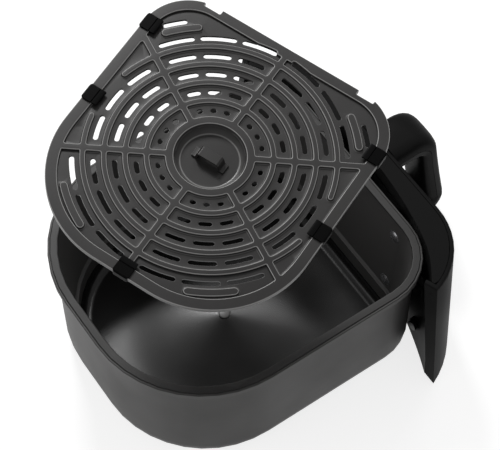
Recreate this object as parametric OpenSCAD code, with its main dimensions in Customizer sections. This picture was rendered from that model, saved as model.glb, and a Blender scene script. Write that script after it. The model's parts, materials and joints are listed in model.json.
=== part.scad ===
// Drawer and crisper plate of a basket air fryer.
// Frame: +Z up, front with the handle towards -Y, origin under the middle of the pan.

/* [Pan] */
// Width across the flat rim
pan_w = 240; // [200:1:288]
// Length across the flat rim, front to back
pan_len = 262; // [220:1:315]
// Height of the rim above the table
pan_h = 128; // [108:1:155]
// Corner radius of the rim at the front
front_corner_r = 47; // [40:1:56]
// Corner radius of the rim at the back
back_corner_r = 97; // [80:1:98]
// Width of the flat band on top of the rim
rim_band = 6.5; // [5.5:0.1:8]
// How far the rolled bead stands outside the flat band
rim_bead = 2; // [1.6:0.1:2.4]
// Sheet thickness of both pan skins
sheet_t = 1.5; // [1.2:0.1:1.8]
// Bend radius between outer wall and base
base_r = 24; // [20:0.5:28]
// How far the inner wall leans in between the rim and the step
wall_draft = 6; // [5:0.1:7.2]
// Depth of the step below the rim
step_depth = 96; // [80:1:100]
// Width of the step
step_w = 2.9; // [2.4:0.1:3.5]
// Bend radius between the lower wall and the floor
floor_r = 10; // [8:0.5:12]
// Rise of the floor towards its middle
floor_dome = 0.8; // [0.5:0.1:1]
// Diameter of the disc in the middle of the floor
disc_d = 10; // [8:0.5:12]

/* [Crisper plate] */
// Gap between the plate and the lower wall at the sides
plate_side_gap = 2.5; // [2.2:0.1:3]
// Gap between the plate and the lower wall at the front and back
plate_end_gap = 7.35; // [6.1:0.05:8.8]
// Thickness over the ribs
plate_t = 4; // [3.4:0.1:4.8]
// Thickness of the pocket floors
pocket_t = 2; // [1.7:0.1:2.4]
// Width of the rim of the plate
flange_w = 8.5; // [7:0.1:10]
// Corner radius of the plate at the front
plate_front_r = 39; // [33:1:46]
// Corner radius of the plate at the back
plate_back_r = 79; // [66:1:90]
// Radius of the middle recess
recess_r = 26; // [24:0.5:28]
// Depth of the middle recess
recess_depth = 8; // [7:0.1:8.5]
// Outer radius of the hub ring
hub_r = 31.9; // [30:0.1:34]
// Spacing of the ring ribs
ring_pitch = 15.07; // [13:0.01:15.5]
// Width of the ring ribs
ring_rib_w = 4; // [3.4:0.1:4.6]
// Width of the spokes
spoke_w = 4.7; // [4:0.1:5.6]
// Width of the slots
slot_w = 3.7; // [3.1:0.1:4.4]
// Height of the bumper feet under the plate
foot_h = 9; // [8.4:0.1:10.8]
// How far the bumpers stand out past the edge of the plate
bumper_out = 0.9; // [0.75:0.05:1.1]
// Width of each bumper along the edge
bumper_w = 13; // [11:0.5:15]
// Thickness of the bumper wrap
bumper_t = 1.4; // [1.2:0.1:1.7]
// Width of the lifting bridge
bridge_w = 8; // [7:0.5:9.5]

/* [Pose of the lifted plate] */
// Height of the lifted plate above the rim
lift_h = 175; // [160:1:190]
// Sideways place of the lifted plate
lift_x = -24.2; // [-26:0.1:-22]
// Front-to-back place of the lifted plate
lift_y = 24.1; // [22:0.1:26]
// Turn of the lifted plate about the vertical
lift_turn = 22.5; // [20:0.1:24]
// Tip of the lifted plate towards the left and back
lift_tip = 6.1; // [5:0.1:7]
// Direction of the level axis that it tips about
lift_tip_axis = 249; // [240:1:258]

/* [Front panel] */
// How far the panel reaches past the rim at each side, at its top
panel_side = 17; // [14:0.5:20]
// How much wider each side is at the bottom
panel_flare = 20; // [16:0.5:24]
// Height of the panel above the rim
panel_rise = 6; // [5:0.5:7]
// Distance from the rim to the front of the panel, at its top
panel_depth = 27.5; // [25:0.5:33]
// Corner radius of the panel at its top
panel_corner_r = 62; // [52:1:74]
// Wall thickness of the mouldings
panel_wall = 3; // [2.5:0.1:3.5]
// Height of the rear lip of the top cap
cap_lip_h = 14.5; // [12:0.5:17]

/* [Handle] */
// Half width of the grip at its top
grip_half_w = 17; // [15:0.5:20]
// Extra half width of the grip at its foot
grip_spread = 3; // [2:0.5:4]
// Reach of the grip's centre line from the panel, at its top
grip_reach = 35.5; // [30:0.5:41]
// How much further the foot of the grip stands out
grip_slant = 20.5; // [17:0.5:24]
// Thickness of the grip
grip_t = 18; // [15:0.5:21]
// Thickness of the upper arm
upper_arm_t = 27; // [23:0.5:29]
// Thickness of the lower arm
lower_arm_t = 20; // [17:0.5:22]

/* [Fits] */
// Clearance between fixed pieces
fit = 0.3; // [0.25:0.05:0.36]
// Diameter of the rivet and screw shanks
shank_d = 4.8; // [4:0.1:5.6]

/* [Hidden] */
EPS = 0.01;

// ---- derived sizes of the pan ----
half_w = pan_w / 2;
half_len = pan_len / 2;
skin_inset = rim_band - 2 * sheet_t - 0.5;
skin_y = -(half_len - skin_inset);
floor_z = sheet_t + 1 + sheet_t;
step_z = pan_h - step_depth;
upper_inset = rim_band + wall_draft;
lower_inset = upper_inset + step_w;
draft_angle = atan(wall_draft / step_depth);
bead_h = 7;
disc_seat_z = floor_z + floor_dome - 0.7;

// ---- derived sizes of the plate ----
plate_half_w = half_w - lower_inset - plate_side_gap;
plate_half_len = half_len - lower_inset - plate_end_gap;
hub_shift = 2.75;
plate_front = plate_half_len - hub_shift;
plate_back = plate_half_len + hub_shift;
ring_count = floor((plate_half_w - hub_r) / ring_pitch);
last_rib_r = hub_r + ring_pitch * ring_count;
stub_y = sqrt(max(1, pow(last_rib_r, 2) - pow(plate_half_w - flange_w - slot_w, 2)));
bar_w = 5.6;
front_bar_len = 30.5;
back_bar_len = 38.5;
slot_margin = 7.3;
slot_bridge = 4.9;
outer_slot_margin = 6.5;
outer_slot_bridge = 3.9;
corner_slot_len = 18.8;
bar_r = last_rib_r + ring_pitch - ring_rib_w / 2;
front_corner = [plate_half_w - plate_front_r, plate_front_r - plate_front];
corner_slot_r = norm(front_corner) + plate_front_r - flange_w - 9.2;
corner_slot_angle = atan2(front_corner[1], front_corner[0]) + 3.4;
recess_lean = 4.7;
recess_wall = 2;
notch_w = 14;
notch_depth = 4;
bridge_t = 1.6;
bridge_reach = 13.5;
bridge_top = 7.4;
wrap_gap = 0.1;
bumper_len = 13;
foot_in = 5;
bumper_corner = 2;
stem_in = 10.6;
stem_t = 2;
stem_w = 7;
side_bumper_y = [-66, 6.5];

// ---- derived sizes of the panel ----
panel_top = pan_h + panel_rise;
panel_front_top = -(half_len + panel_depth);
panel_front_low = panel_front_top - 2.5;
panel_half_top = half_w + panel_side;
panel_corner_x = panel_half_top - panel_corner_r;
end_y_top = -(half_len - 19.5);
end_y_low = -(half_len - 22.5);
end_face_w = 11;
end_skew = 4.5;
cap_t = 2.5;
edge_round = 2;
inner_d = panel_wall + 0.5;
back_y_top = -(half_len + 11.5);
back_y_low = -(half_len + 7);
rear_bow_top = 0.00137;
rear_bow_low = 0.0015;
end_sweep = 0.0062;
sweep_x = 90;

// ---- fasteners ----
shank_r = shank_d / 2;
rivet_x = half_w - 54;
rivet_z = [step_z + 10, pan_h - 20];
rivet_head_r = 6;
rivet_head_h = 2.2;
rivet_tail = 1.9;
rivet_tail_r = shank_r + 1.6;
rivet_tail_h = 1.4;
boss_step = 21;
bracket_t = 2;
bracket_side = 9;
bracket_below = 14;
bracket_above = 6;
bracket_leg = bracket_side + 2 * boss_step;
bracket_bar = 20;
bracket_y = skin_y - bracket_t;
boss_x = rivet_x - boss_step;
boss_z = [rivet_z[0] - 2, pan_h - 34];
boss_r = 6;
panel_boss_x = half_w - 12;
panel_boss_z = [26, pan_h - 28];
bore_r = shank_r + 0.1;
screw_head_r = shank_r + 2.2;
screw_head_h = 2.4;
screw_bite = 11;
seat_gap = 0.05;
boss_proud = 2.5;
joint_proud = 3.5;
grip_screw_z = [17, pan_h - 12.5];

// ---- centre line of the grip in the (y, z) plane ----
grip_top_z = pan_h - 6.5;
grip_foot_z = 13;
grip_knee = [panel_front_top - grip_reach, pan_h - 4.5];
grip_foot = [grip_knee[0] - grip_slant, grip_foot_z];
knee_r = 17;
foot_r = 14;
grip_square = 0.57;

COATING = [0.36, 0.35, 0.35];
PLATE_GREY = [0.30, 0.29, 0.29];
PLASTIC = [0.09, 0.09, 0.09];
SILICONE = [0.05, 0.05, 0.05];
STEEL = [0.62, 0.62, 0.63];

// ---- outlines ----
function arc(cx, cy, r, a0, a1, n) =
    [for (i = [0:n]) let (a = a0 + (a1 - a0) * i / n) [cx + r * cos(a), cy + r * sin(a)]];

function reversed(p) = [for (i = [len(p) - 1:-1:0]) p[i]];

// Outline of the pan at a distance d inside the edge of the flat rim.
function pan_outline(d) =
    let (w = half_w - d, h = half_len - d, rf = front_corner_r - d, rb = back_corner_r - d)
    concat(
        arc(w - rb, h - rb, rb, 0, 90, 10),
        arc(rb - w, h - rb, rb, 90, 180, 10),
        arc(rf - w, rf - h, rf, 180, 270, 7),
        arc(w - rf, rf - h, rf, 270, 360, 7));

function at_z(outline, z) = [for (p = outline) [p[0], p[1], z]];

function ring_faces(m, n) =
    [for (j = [0:m - 2]) for (i = [0:n - 1]) for (half = [0, 1])
        let (a = j * n + i, b = j * n + (i + 1) % n, c = a + n, d = b + n)
        half == 0 ? [a, c, d] : [a, d, b]];

// Skin through stacked rings, closed by a flat cap on the first and the last ring.
module loft(rings) {
    n = len(rings[0]);
    m = len(rings);
    first = [for (i = [0:n - 1]) i];
    last = [for (i = [n - 1:-1:0]) (m - 1) * n + i];
    polyhedron([for (r = rings) for (p = r) p], concat([first], ring_faces(m, n), [last]));
}

// Pan section given as [inset, height] pairs, from under the base round to the floor.
function pan_rings(section) = [for (s = section) at_z(pan_outline(s[0]), s[1])];

// Small ring of the pan's shape round the middle of its floor.
function middle_ring(z) = [for (p = pan_outline(0)) [p[0] * 0.07, p[1] * 0.07, z]];

function bend(d, z, r, a0, a1, n) =
    [for (i = [0:n]) let (a = a0 + (a1 - a0) * i / n) [d - r * cos(a), z - r * sin(a)]];

// Axes of the rivets: square to the leaning inner wall at the front, +Z into the pan.
module at_rivets() {
    for (x = [-rivet_x, rivet_x]) for (z = rivet_z)
        translate([x, inner_wall_y(z), z]) rotate([draft_angle - 90, 0, 0]) children();
}

function inner_inset(z) = rim_band + wall_draft * (pan_h - z) / step_depth;
function inner_wall_y(z) = -(half_len - inner_inset(z));

module outer_pan() {
    t = sheet_t;
    edge = skin_inset;
    bead_low = pan_h - bead_h;
    shelf = pan_h - t - fit;
    color(COATING) difference() {
        loft(pan_rings(concat(
            bend(edge + base_r, base_r, base_r, 90, 0, 6),
            [[edge, bead_low - 2], [edge - 1.6, bead_low - 0.5], [-rim_bead + 0.7, bead_low]],
            [[-rim_bead, bead_low + 0.8], [-rim_bead, pan_h - 1.3], [-rim_bead + 0.6, pan_h - 0.7]],
            [[-fit, pan_h - 0.7], [-fit, shelf], [edge + t, shelf]],
            bend(edge + base_r, base_r, base_r - t, 0, 90, 5))));
        at_rivets() cylinder(r = bore_r, h = 40, center = true, $fn = 32);
    }
}

module inner_pan() {
    t = sheet_t;
    low = lower_inset;
    fr = floor_r;
    color(COATING) difference() {
        loft(concat([middle_ring(floor_z - t + floor_dome)], pan_rings(concat(
            bend(low + fr, floor_z + fr, fr + t, 90, 0, 4),
            [[low - t, step_z - 1.6], [upper_inset - t, step_z - 0.4]],
            [[rim_band - t, pan_h - t - 0.7], [rim_band - t - 0.4, pan_h - t], [0.5, pan_h - t]],
            [[0, pan_h - t + 0.5], [0, pan_h - 0.5], [0.5, pan_h]],
            [[rim_band - 1.2, pan_h], [rim_band - 0.3, pan_h - 0.4]],
            [[inner_inset(pan_h - 1.4), pan_h - 1.4]],
            [[inner_inset(step_z + 0.8), step_z + 0.8], [upper_inset + 0.6, step_z], [low, step_z - 1]],
            bend(low + fr, floor_z + fr, fr, 0, 90, 5))), [middle_ring(floor_z + floor_dome)]));
        at_rivets() cylinder(r = bore_r, h = 40, center = true, $fn = 32);
        translate([0, 0, disc_seat_z]) cylinder(d = disc_d + 2 * fit + 0.6, h = 5, $fn = 48);
    }
}

module pan_rivets() {
    dome_r = (pow(rivet_head_r, 2) + pow(rivet_head_h, 2)) / (2 * rivet_head_h);
    color(STEEL) for (x = [-rivet_x, rivet_x]) for (z = rivet_z)
        translate([x, inner_wall_y(z) + seat_gap, z]) rotate([draft_angle - 90, 0, 0]) {
            tail = inner_wall_y(z) - bracket_y + rivet_tail;
            rotate_extrude($fn = 40) intersection() {
                translate([0, rivet_head_h - dome_r]) circle(r = dome_r, $fn = 96);
                square([rivet_head_r, rivet_head_h]);
            }
            translate([0, 0, -tail]) cylinder(r = shank_r, h = tail + 0.5, $fn = 32);
            translate([0, 0, -tail]) cylinder(r = rivet_tail_r, h = rivet_tail_h, $fn = 32);
        }
}

// Flat steel plate behind the pan's front wall, riveted to both skins.
module mount_bracket() {
    w = 2 * rivet_x + 2 * bracket_side;
    low = rivet_z[0] - bracket_below;
    high = rivet_z[1] + bracket_above;
    color(STEEL) difference() {
        translate([0, bracket_y, 0]) rotate([90, 0, 0]) mirror([0, 0, 1])
            linear_extrude(bracket_t) difference() {
                translate([-w / 2, low]) square([w, high - low]);
                translate([-w / 2 + bracket_leg, low + bracket_bar])
                    square([w - 2 * bracket_leg, high - low - 2 * bracket_bar]);
            }
        at_rivets() cylinder(r = bore_r, h = 40, center = true, $fn = 32);
        for (x = [-boss_x, boss_x]) for (z = boss_z)
            translate([x, bracket_y - 1, z]) rotate([-90, 0, 0]) cylinder(r = bore_r, h = 9, $fn = 32);
    }
}

// Front face of the frame's bosses, where the screws into the bracket have their heads.
function boss_face_y(x, z) = rear_y(x, z) - cap_t - boss_proud;

// Screw with its axis along -Y, its head at y and its tip at tip_y.
module screw(x, y, z, tip_y) {
    len = abs(y - tip_y);
    translate([x, y, z]) rotate([y > tip_y ? 90 : -90, 0, 0]) {
        translate([0, 0, -seat_gap - 1]) cylinder(r = shank_r, h = len + seat_gap + 1, $fn = 32);
        translate([0, 0, -screw_head_h - seat_gap])
            cylinder(r = screw_head_r, h = screw_head_h, $fn = 32);
    }
}

module bracket_screws() {
    color(STEEL) for (x = [-boss_x, boss_x]) for (z = boss_z)
        screw(x, boss_face_y(x, z), z, bracket_y + bracket_t - fit);
}

// ---- front panel surfaces ----
function mix(low, high, z) = low + (high - low) * z / panel_top;

function corner_r(z) = mix(panel_corner_r + panel_flare + 2, panel_corner_r, z);
function front_y(z) = mix(panel_front_low, panel_front_top, z);
function corner_y(z) = front_y(z) + corner_r(z);
function end_y(z) = mix(end_y_low, end_y_top, z);
function end_x(z) = panel_corner_x + sqrt(pow(corner_r(z), 2) - pow(end_y(z) - corner_y(z), 2));

// Front surface of the panel at x, moved inwards by d.
function face_y(x, z, d) =
    let (o = max(0, abs(x) - panel_corner_x), r = corner_r(z) - d)
    corner_y(z) - sqrt(max(0, r * r - o * o));

// Rear surface of the panel, which follows the pan and sweeps out to the ends.
function rear_y(x, z) =
    let (o = max(0, abs(x) - sweep_x))
    mix(back_y_low, back_y_top, z) + mix(rear_bow_low, rear_bow_top, z) * x * x
        + mix(0, end_sweep, z) * o * o;

function seg_normal(a, b) = let (v = b - a) [-v[1], v[0]] / norm(v);

function shifted(p, d) =
    [for (i = [0:len(p) - 1])
        let (last = len(p) - 1,
            n1 = i == 0 ? seg_normal(p[0], p[1]) : seg_normal(p[i - 1], p[i]),
            n2 = i == last ? n1 : seg_normal(p[i], p[i + 1]))
        p[i] + (n1 + n2) * d / (1 + n1 * n2)];

// Outline of the front panel at height z, from the left end face round to the right one.
function panel_path(z, d = 0) =
    let (r = corner_r(z), e = end_x(z), y = end_y(z), skew = mix(0, end_skew, z),
        a = asin((corner_y(z) - y) / r),
        right = concat(
            [[25, front_y(z)]],
            arc(panel_corner_x, corner_y(z), r, 270, 360 - a, 10),
            [[e - end_face_w, y + skew]]),
        left = [for (p = reversed(right)) [-p[0], p[1]]])
    shifted(concat(left, right), d);

// Skin between an outer and an inner line at each level, both running left to right.
module strip(outer, inner) {
    n = len(outer[0]);
    m = len(outer);
    rings = [for (j = [0:m - 1]) concat(outer[j], reversed(inner[j]))];
    cap = [for (i = [0:n - 2]) [i, i + 1, 2 * n - 2 - i, 2 * n - 1 - i]];
    top = [for (q = cap) [for (k = [3:-1:0]) q[k] + (m - 1) * 2 * n]];
    polyhedron([for (r = rings) for (p = r) p], concat(cap, ring_faces(m, 2 * n), top));
}

// Where the boss of the inner frame meets the boss of the front panel.
function joint_y(x, z) = rear_y(x, z) - cap_t - joint_proud;
// Rear face of the inner frame's boss, under the screw head.
function head_y(x, z) = rear_y(x, z) + 2;

module front_panel() {
    levels = [[0, 1.2], [1.2, 0], [panel_top / 2, 0], [panel_top - edge_round, 0],
        [panel_top - edge_round * 0.3, edge_round * 0.3], [panel_top, edge_round]];
    color(PLASTIC) difference() {
        union() {
            strip([for (l = levels) at_z(panel_path(l[0], l[1]), l[0])],
                [for (l = levels) at_z(panel_path(l[0], inner_d), l[0])]);
            for (x = [-panel_boss_x, panel_boss_x]) for (z = panel_boss_z)
                translate([x, joint_y(x, z), z]) rotate([90, 0, 0])
                    cylinder(r = boss_r, h = joint_y(x, z) - face_y(abs(x) + boss_r, z, 1), $fn = 40);
        }
        for (x = [-panel_boss_x, panel_boss_x]) for (z = panel_boss_z)
            translate([x, joint_y(x, z) + 1, z]) rotate([90, 0, 0])
                cylinder(r = bore_r, h = screw_bite + 1, $fn = 32);
        for (z = grip_screw_z)
            translate([0, front_y(z) - 1, z]) rotate([-90, 0, 0])
                cylinder(r = bore_r, h = 12, $fn = 32);
    }
}

// ---- inner frame and top cap: sections swept from the left end to the right ----
function spread(k, n) = sin(90 * k / n);

function end_inner_y(x, z) =
    let (skew = mix(0, end_skew, z))
    end_y(z) + skew * (end_x(z) - x) / end_face_w
        - inner_d * norm([end_face_w, skew]) / end_face_w;

// Rear surface, kept in front of the end faces of the front panel.
function rear_limit(x, z) =
    abs(x) < end_x(z) - end_face_w - fit
        ? min(rear_y(x, z), end_y(z) + mix(0, end_skew, z))
        : min(rear_y(x, z), end_inner_y(abs(x), z) - fit);

module swept_l(sections) {
    m = len(sections);
    caps = [[0, 1, 4, 5], [1, 2, 3, 4]];
    ends = [for (q = caps) [for (k = [3:-1:0]) q[k] + (m - 1) * 6]];
    polyhedron([for (r = sections) for (p = r) p], concat(caps, ring_faces(m, 6), ends));
}

module inner_frame() {
    low = 1;
    high = panel_top - cap_lip_h - fit;
    n = 14;
    reach = function(z) end_x(z) - end_face_w - 2 * fit;
    rear = function(s, z, d) [s * reach(z), rear_limit(s * reach(z), z) - d, z];
    front = function(s, z) [s * reach(z), face_y(s * reach(z), z, inner_d + fit), z];
    color(PLASTIC) difference() {
        union() {
            swept_l([for (k = [-n:n]) let (s = spread(k, n))
                [front(s, low), rear(s, low, 0), rear(s, high, 0), rear(s, high, cap_t),
                    rear(s, low + cap_t, cap_t), front(s, low + cap_t)]]);
            for (x = [-boss_x, boss_x]) for (z = boss_z)
                translate([x, bracket_y, z]) rotate([90, 0, 0])
                    cylinder(r = boss_r, h = bracket_y - boss_face_y(x, z), $fn = 40);
            for (x = [-panel_boss_x, panel_boss_x]) for (z = panel_boss_z)
                translate([x, head_y(x, z), z]) rotate([90, 0, 0])
                    cylinder(r = boss_r, h = head_y(x, z) - joint_y(x, z), $fn = 40);
        }
        for (x = [-boss_x, boss_x]) for (z = boss_z)
            translate([x, bracket_y + 1, z]) rotate([90, 0, 0]) cylinder(r = bore_r, h = 40, $fn = 32);
        for (x = [-panel_boss_x, panel_boss_x]) for (z = panel_boss_z)
            translate([x, head_y(x, z) + 1, z]) rotate([90, 0, 0]) cylinder(r = bore_r, h = 20, $fn = 32);
    }
}

module top_cap() {
    low = panel_top - cap_lip_h;
    under = panel_top - cap_t;
    n = 16;
    reach = function(z) end_x(z) - end_face_w / 2 - fit;
    rear = function(s, z, d) [s * reach(z), rear_limit(s * reach(z), z) - d, z];
    front = function(s, z) [s * reach(z), face_y(s * reach(z), z, inner_d + fit), z];
    color(PLASTIC * 1.4) swept_l([for (k = [-n:n]) let (s = spread(k, n))
        [front(s, under), rear(s, under, cap_t), rear(s, low, cap_t), rear(s, low, 0),
            rear(s, panel_top, 0), front(s, panel_top)]]);
}

module panel_screws() {
    color(STEEL) for (x = [-panel_boss_x, panel_boss_x]) for (z = panel_boss_z)
        screw(x, head_y(x, z), z, joint_y(x, z) - screw_bite + 1);
}

// ---- handle ----
function unit(v) = v / norm(v);

// Points round the corner p1 between p0 and p2, with radius r.
function rounded_corner(p0, p1, p2, r, n) =
    let (u = unit(p0 - p1), v = unit(p2 - p1), half = acos(u * v) / 2,
        c = p1 + unit(u + v) * r / sin(half), a = p1 + u * r / tan(half) - c,
        b = p1 + v * r / tan(half) - c, a0 = atan2(a[1], a[0]), swing = atan2(b[1], b[0]) - a0)
    arc(c[0], c[1], r, a0, a0 + (swing > 180 ? swing - 360 : swing < -180 ? swing + 360 : swing), n);

function between(a, b, k) = a + (b - a) * k;

grip_start = [front_y(grip_top_z) - fit, grip_top_z];
grip_end = [front_y(grip_foot_z - 1) - fit, grip_foot_z - 1];
grip_line = concat(
    [grip_start, between(grip_start, grip_knee, 0.4)],
    rounded_corner(grip_start, grip_knee, grip_foot, knee_r, 7),
    [for (k = [0.35, 0.48, 0.61, 0.74]) between(grip_knee, grip_foot, k)],
    rounded_corner(grip_knee, grip_foot, grip_end, foot_r, 6),
    [between(grip_foot, grip_end, 0.6), grip_end]);

// Section of the grip at angle a: a rectangle with well-rounded corners.
function squircle(w, h, a) =
    [w * sign(cos(a)) * pow(abs(cos(a)), grip_square), h * sign(sin(a)) * pow(abs(sin(a)), grip_square)];

// Half of the grip: side 1 is its outer cover, side -1 its inner half.
module grip_half(side) {
    last = len(grip_line) - 1;
    lean = unit([panel_front_top - panel_front_low, panel_top]);
    loft([for (i = [0:last])
        let (p = grip_line[i], t = unit(grip_line[min(i + 1, last)] - grip_line[max(i - 1, 0)]),
            n = i == 0 ? lean : i == last ? -lean : [t[1], -t[0]], k = i / last,
            thick = lookup(k, [[0, upper_arm_t - 3], [0.1, upper_arm_t], [0.4, grip_t],
                [0.62, grip_t + 1], [0.9, lower_arm_t]]),
            w = lookup(k, [[0.4, grip_half_w], [0.7, grip_half_w + grip_spread]]))
        [for (a = [0:15:180])
            let (q = squircle(w, thick / 2, side * a), o = q[1] + side * fit / 2)
            [side * q[0], p[0] + n[0] * o, p[1] + n[1] * o]]]);
}

module handle_cover() {
    color(PLASTIC) grip_half(1);
}

module handle_back() {
    color(PLASTIC) difference() {
        grip_half(-1);
        for (z = grip_screw_z)
            translate([0, front_y(z) + 1, z]) rotate([90, 0, 0])
                cylinder(r = bore_r, h = screw_bite + 2, $fn = 32);
    }
}

module handle_screws() {
    color(STEEL) for (z = grip_screw_z)
        screw(0, front_y(z) + inner_d + 0.1, z, front_y(z) - screw_bite);
}

module floor_disc() {
    r = disc_d / 2;
    base = disc_seat_z + fit;
    color(STEEL) rotate_extrude($fn = 48)
        polygon([[0, base], [r * 0.5, base + 0.08], [r, base + 0.4], [r, base + 0.9],
            [r * 0.8, base + 1.4], [0, base + 1.7]]);
}

// ---- crisper plate, in its own frame: hub in the middle, underside at z = 0 ----
lift_axis = [lift_tip * cos(lift_tip_axis), lift_tip * sin(lift_tip_axis), lift_turn];

module place_plate() {
    translate([lift_x, lift_y, pan_h + lift_h]) rotate(a = norm(lift_axis), v = lift_axis)
        translate([0, 0, -plate_t]) children();
}

module ring(r0, r1) {
    difference() {
        circle(r = r1, $fn = 180);
        circle(r = r0, $fn = 180);
    }
}

// Outline of the plate, inset all round.
module plate_plan(inset) {
    w = plate_half_w - inset;
    f = plate_front - inset;
    b = plate_back - inset;
    rf = plate_front_r - inset;
    rb = plate_back_r - inset;
    translate([-w, rf - f]) square([2 * w, f - rf + b - rb]);
    translate([rf - w, -f]) square([2 * (w - rf), f]);
    translate([rb - w, 0]) square([2 * (w - rb), b]);
    for (side = [-1, 1]) {
        translate([side * (w - rf), rf - f]) circle(r = rf, $fn = 180);
        translate([side * (w - rb), b - rb]) circle(r = rb, $fn = 180);
    }
}

// Round-ended arc round the hub; its length is that of its middle line, ends included.
module arc_slot(r, angle, length, width) {
    h = width / 2;
    half = (length - width) / 2 * 180 / (PI * r);
    steps = max(1, ceil((length - width) / 5));
    end = function(a, turn)
        [for (k = [1:3]) [r * cos(a) + h * cos(a + turn + 45 * k), r * sin(a) + h * sin(a + turn + 45 * k)]];
    polygon(concat(
        arc(0, 0, r + h, angle - half, angle + half, steps), end(angle + half, 0),
        arc(0, 0, r - h, angle + half, angle - half, steps), end(angle - half, 180)));
}

// Three slots in one sector of a pocket: equal lengths, set margins and gaps.
module sector_slots(k, sector, margin, gap) {
    r = hub_r + ring_pitch * (k - 1) + (ring_pitch - ring_rib_w) / 2;
    length = (r * PI / 3 - 2 * margin - 2 * gap) / 3;
    for (j = [-1, 0, 1])
        arc_slot(r, 60 * sector + j * (length + gap) * 180 / (PI * r), length, slot_w);
}

module slots() {
    for (k = [1:ring_count]) for (sector = [0:5]) sector_slots(k, sector, slot_margin, slot_bridge);
    for (sector = [1, 2, 4, 5])
        sector_slots(ring_count + 1, sector, outer_slot_margin, outer_slot_bridge);
    for (a = [corner_slot_angle, 180 - corner_slot_angle])
        arc_slot(corner_slot_r, a, corner_slot_len, slot_w);
}

module ribs() {
    reach = plate_half_w + plate_back;
    for (k = [0:ring_count - 1])
        ring(k == 0 ? recess_r : hub_r + ring_pitch * k - ring_rib_w, hub_r + ring_pitch * k);
    mid_r = last_rib_r - ring_rib_w / 2;
    for (a = [90, 270])
        arc_slot(mid_r, a, 2 * mid_r * acos(stub_y / mid_r) * PI / 180 + ring_rib_w, ring_rib_w);
    intersection() {
        plate_plan(flange_w - 1);
        for (s = [0:2]) rotate(60 * s + 30) square([reach * 2, spoke_w], center = true);
    }
    for (a = [-45, -135]) arc_slot(bar_r + 1, a, front_bar_len, bar_w);
    for (a = [56, 124]) arc_slot(bar_r, a, back_bar_len, bar_w);
}

module at_bumpers() {
    for (y = side_bumper_y) {
        translate([plate_half_w, y]) children();
        translate([-plate_half_w, y]) rotate(180) children();
    }
    translate([0, plate_back]) rotate(90) children();
}

module crisper_plate() {
    bowl = recess_depth + recess_wall - plate_t;
    color(PLATE_GREY) place_plate() difference() {
        union() {
            linear_extrude(pocket_t) plate_plan(0);
            linear_extrude(plate_t) {
                difference() {
                    plate_plan(0);
                    plate_plan(flange_w);
                }
                ribs();
            }
            translate([0, 0, -bowl])
                cylinder(r1 = recess_r - recess_lean + 1.5, r2 = recess_r + 2, h = bowl + EPS, $fn = 96);
        }
        translate([0, 0, plate_t - recess_depth])
            cylinder(r1 = recess_r - recess_lean, r2 = recess_r, h = recess_depth + EPS, $fn = 96);
        translate([0, 0, -1]) linear_extrude(plate_t + 2) {
            slots();
            at_bumpers() translate([-stem_in, 0])
                square([stem_t + 2 * fit, stem_w + 2 * fit], center = true);
            for (x = [-rivet_x, rivet_x])
                translate([x - notch_w / 2, -plate_front - notch_depth])
                    square([notch_w, 2 * notch_depth]);
        }
    }
}

// Bent strap that stands on the recess floor, for lifting the plate out.
module lift_bridge() {
    low = plate_t - recess_depth + bridge_t / 2;
    high = plate_t - bridge_t / 2;
    right = [[bridge_top, high], [bridge_top + 1.2, high - 1], [bridge_top + 2.2, low + 0.7],
        [bridge_top + 3.2, low], [bridge_reach, low]];
    line = concat([for (p = reversed(right)) [-p[0], p[1]]], right);
    color(PLATE_GREY) place_plate() translate([0, bridge_w / 2, 0]) rotate([90, 0, 0])
        linear_extrude(bridge_w)
            polygon(concat(shifted(line, -bridge_t / 2), reversed(shifted(line, bridge_t / 2))));
}

// Silicone bumper in the plate's frame, with the plate's edge at x = 0 and the plate at x < 0.
module bumper() {
    g = wrap_gap;
    color(SILICONE) intersection() {
        rotate([90, 0, 0]) translate([0, 0, -bumper_w / 2]) linear_extrude(bumper_w)
            difference() {
                polygon([[-bumper_len, plate_t + 1], [-bumper_len + 1, plate_t + bumper_t],
                    [bumper_out - 1.2, plate_t + bumper_t], [bumper_out, plate_t + 0.2],
                    [bumper_out, -0.6], [bumper_out - 1, -bumper_t], [-foot_in, -bumper_t],
                    [-foot_in - 2, -foot_h + 0.8], [-foot_in - 3, -foot_h], [-bumper_len, -foot_h],
                    [-bumper_len - 0.5, -foot_h + 1], [-bumper_len, -bumper_t]]);
                translate([-bumper_len - 1, -g]) square([bumper_len + 1 + g, plate_t + 2 * g]);
            }
        linear_extrude(60, center = true) translate([-bumper_len - 1, -bumper_w / 2]) {
            long = bumper_len + bumper_out + 1;
            c = bumper_corner;
            translate([c, 0]) square([long - 2 * c, bumper_w]);
            translate([0, c]) square([long, bumper_w - 2 * c]);
            for (x = [c, long - c]) for (y = [c, bumper_w - c]) translate([x, y]) circle(r = c, $fn = 24);
        }
    }
    color(SILICONE) translate([-stem_in - stem_t / 2, -stem_w / 2, -1])
        cube([stem_t, stem_w, plate_t + 2]);
}

module side_bumper(side, y) {
    place_plate() translate([side * plate_half_w, y, 0]) rotate(side > 0 ? 0 : 180) bumper();
}

module bumper_left_front() {
    side_bumper(-1, side_bumper_y[0]);
}

module bumper_left_back() {
    side_bumper(-1, side_bumper_y[1]);
}

module bumper_right_front() {
    side_bumper(1, side_bumper_y[0]);
}

module bumper_right_back() {
    side_bumper(1, side_bumper_y[1]);
}

module bumper_back() {
    place_plate() translate([0, plate_back, 0]) rotate(90) bumper();
}

outer_pan();
inner_pan();
pan_rivets();
mount_bracket();
bracket_screws();
inner_frame();
front_panel();
top_cap();
panel_screws();
handle_back();
handle_cover();
handle_screws();
floor_disc();
crisper_plate();
lift_bridge();
bumper_left_front();
bumper_left_back();
bumper_right_front();
bumper_right_back();
bumper_back();
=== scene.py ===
import json
import math

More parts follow.
